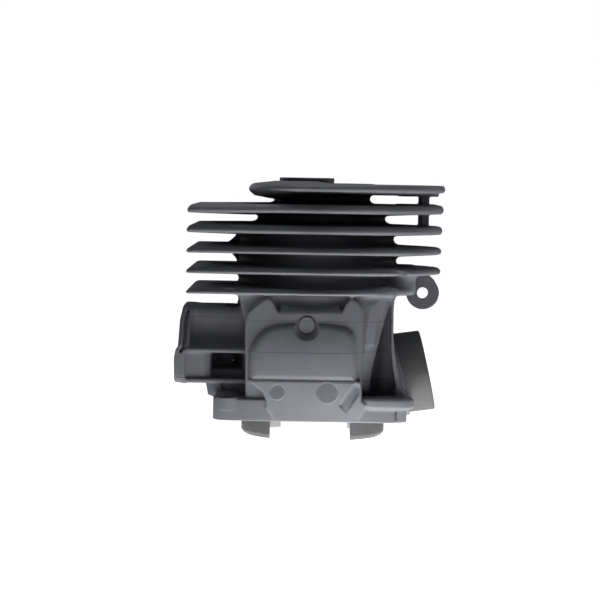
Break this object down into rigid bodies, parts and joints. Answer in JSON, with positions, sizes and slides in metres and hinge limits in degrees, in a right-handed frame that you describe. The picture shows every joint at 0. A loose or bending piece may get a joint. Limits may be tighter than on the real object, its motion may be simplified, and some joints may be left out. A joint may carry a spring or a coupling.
{
  "type": "engine cylinder with integral head",
  "caption": "Air-cooled two-stroke cylinder cast with its head: plated bore, cooling fins, transfer covers, exhaust flange, tilted intake spigot and base flange.",
  "frame": {"origin": "on the bore axis at the crankcase joint face", "axes": "+Z along the bore towards the spark plug, -X towards the exhaust face, +X towards the intake spigot"},
  "size_m": [0.1082, 0.076, 0.1046],
  "materials": {
    "cast_body": "matt as-cast, fine grain",
    "cast_fins": "matt as-cast, darker, rounded rims",
    "machined": "turned or milled, satin",
    "bore_plating": "hard plated and honed"
  },
  "bodies": {
    "root": {"bore_plating": "bore_plating", "barrel_wall": "cast_body", "combustion_head": "cast_body", "spark_plug_boss": "machined", "cooling_fin_1": "cast_fins", "cooling_fin_2": "cast_fins", "cooling_fin_3": "cast_fins", "cooling_fin_4": "cast_fins", "cooling_fin_5": "cast_fins", "cooling_fin_6": "cast_fins", "fin_pillars_upper": "cast_fins", "fin_pillars_lower": "cast_fins", "fin_gusset_upper": "cast_fins", "fin_gusset_lower": "cast_fins", "shroud_ear": "cast_fins", "base_flange": "cast_body", "bolt_pads": "machined", "skirt_exhaust_side": "machined", "skirt_intake_side": "machined", "flange_tabs": "cast_body", "transfer_cover_front": "cast_body", "transfer_cover_rear": "cast_body", "transfer_divider_front": "cast_body", "transfer_divider_rear": "cast_body", "exhaust_duct": "cast_body", "exhaust_flange": "machined", "exhaust_rib_upper": "cast_body", "exhaust_rib_lower": "cast_body", "exhaust_stud_bosses": "cast_body", "exhaust_gusset": "cast_body", "intake_neck": "cast_body", "intake_wall": "cast_body", "intake_spigot": "machined"}
  },
  "joints": []
}
